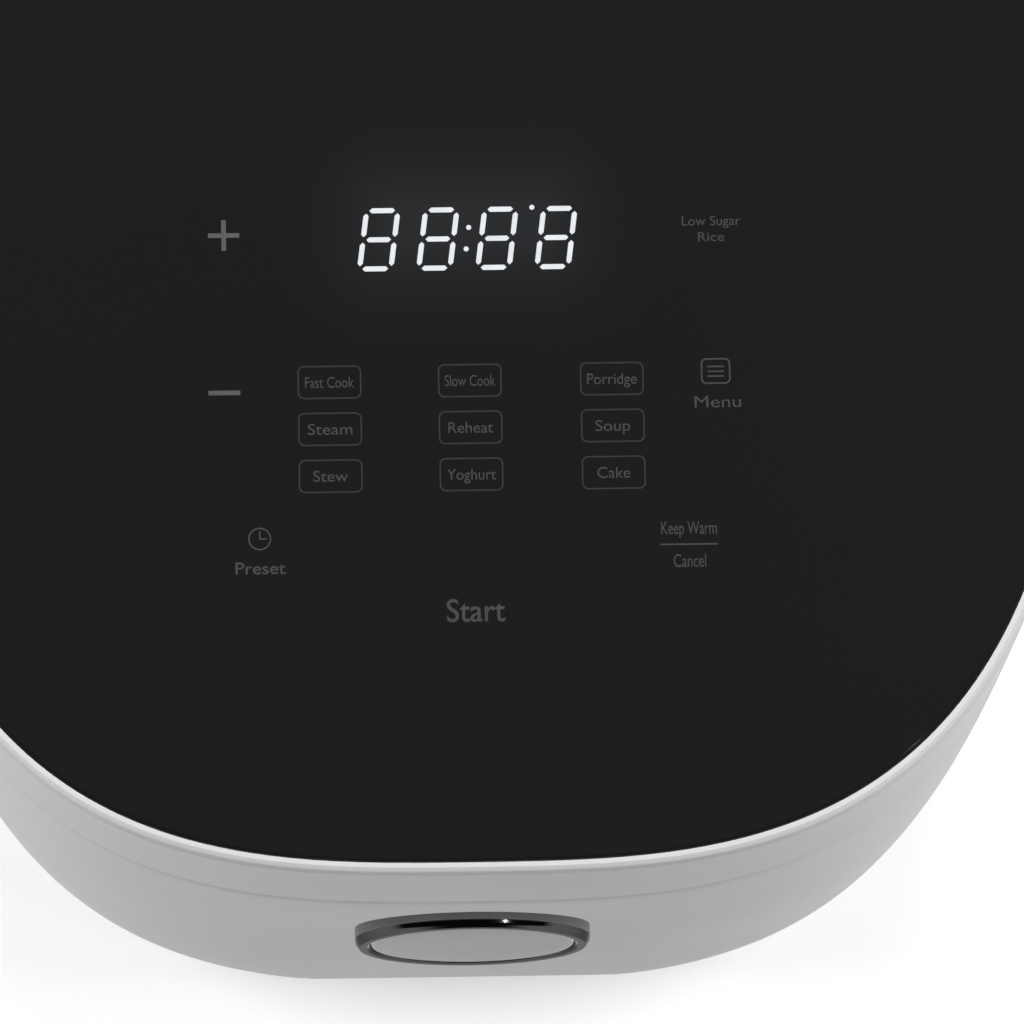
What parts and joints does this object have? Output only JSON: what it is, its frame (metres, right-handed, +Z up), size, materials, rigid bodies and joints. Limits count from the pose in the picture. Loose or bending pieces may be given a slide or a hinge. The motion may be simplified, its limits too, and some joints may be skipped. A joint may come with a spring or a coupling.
{
  "type": "rice cooker",
  "caption": "Electric rice cooker with a rounded white body, a hinged lid topped by a flat black touch panel, a round front release button and a low-sugar straining basket.",
  "frame": {"origin": "on the table under the middle of the whole cooker", "axes": "+X to the right seen from the front, +Y from the front button to the rear hinge, +Z up"},
  "size_m": [0.2704, 0.3602, 0.2296],
  "materials": {
    "white_gloss": "moulded gloss white",
    "white_satin": "satin white",
    "grey_base": "fine texture",
    "foot_rubber": "matte",
    "silicone": "soft matte, translucent grey",
    "black_panel": "polished black, flat",
    "dark_chrome": "dark mirror plating",
    "button_face": "satin silver-grey",
    "steel": "brushed",
    "aluminium": "drawn sheet",
    "cast_aluminium": "cast and turned",
    "non_stick": "non-stick coating",
    "brass": "bright",
    "circuit_board": "solder mask",
    "component_black": "moulded black",
    "winding_yellow": "tape and lacquer",
    "clear_plastic": "translucent moulding",
    "lead_red": "insulation",
    "lead_blue": "insulation"
  },
  "bodies": {
    "body": {"body_shell": "white_gloss", "base_plate": "grey_base", "foot_front_left": "foot_rubber", "foot_front_right": "foot_rubber", "foot_rear_left": "foot_rubber", "foot_rear_right": "foot_rubber", "base_screw_front_left": "steel", "base_screw_front_right": "steel", "base_screw_rear_left": "steel", "base_screw_rear_right": "steel", "top_deck": "white_satin", "inner_liner": "aluminium", "heating_plate": "cast_aluminium", "thermal_fuse": "brass", "sensor_guide": "steel", "sensor_spring": "steel", "inner_pot": "non_stick", "strainer_basket": "steel", "power_board": "circuit_board", "transformer": "winding_yellow", "heater_relay": "component_black", "filter_capacitor": "winding_yellow", "inlet_socket": "component_black", "inlet_pin_live": "brass", "inlet_pin_neutral": "brass", "inlet_pin_earth": "brass", "inlet_lead_live": "lead_red", "inlet_lead_neutral": "lead_blue", "hinge_pin": "steel", "hinge_spring": "steel", "button_ring": "dark_chrome", "button_guide": "white_satin", "button_spring": "steel", "latch_pin": "steel"},
    "lid": {"touch_panel": "black_panel", "lid_frame": "white_gloss", "lid_base": "white_satin", "inner_lid": "aluminium", "inner_lid_gasket": "silicone", "inner_lid_grommet": "silicone", "board_tray": "white_satin", "display_board": "circuit_board", "display_module": "component_black", "touch_film": "clear_plastic", "lid_thermistor": "steel", "lid_catch": "steel", "lid_screw_front_left": "steel", "lid_screw_front_right": "steel", "lid_screw_rear_left": "steel", "lid_screw_rear_right": "steel"},
    "vent": {"vent_cap": "component_black", "vent_cup": "component_black", "vent_seal": "silicone"},
    "open_button": {"open_button": "button_face"},
    "latch": {"latch_lever": "white_satin"},
    "sensor": {"sensor_cap": "aluminium"},
    "dew_box": {"dew_collector": "clear_plastic"}
  },
  "joints": [
    {"name": "lid_hinge", "type": "hinge", "parent": "body", "child": "lid", "pos_m": [0, 0.1645, 0.189], "axis": [-1, 0, 0], "range_deg": [0, 80]},
    {"name": "vent_lift", "type": "slide", "parent": "lid", "child": "vent", "axis": [0, 0, 1], "range_m": [0, 0.03]},
    {"name": "button_press", "type": "slide", "parent": "body", "child": "open_button", "axis": [0, 1, 0], "range_m": [0, 0.0035], "stiffness_N_per_m": 800, "springref_m": -0.001, "deforming": ["button_spring"]},
    {"name": "latch_swing", "type": "hinge", "parent": "body", "child": "latch", "pos_m": [0, -0.1575, 0.16], "axis": [1, 0, 0], "range_deg": [0, 14.5]},
    {"name": "sensor_press", "type": "slide", "parent": "body", "child": "sensor", "axis": [0, 0, -1], "range_m": [0, 0.003], "stiffness_N_per_m": 600, "springref_m": -0.002, "deforming": ["sensor_spring"]},
    {"name": "collector_pull", "type": "slide", "parent": "body", "child": "dew_box", "axis": [0, 1, 0], "range_m": [0, 0.03]}
  ],
  "couplings": [
    {"joint": "latch_swing", "follows": "button_press", "rad_per_m": 71.429}
  ]
}
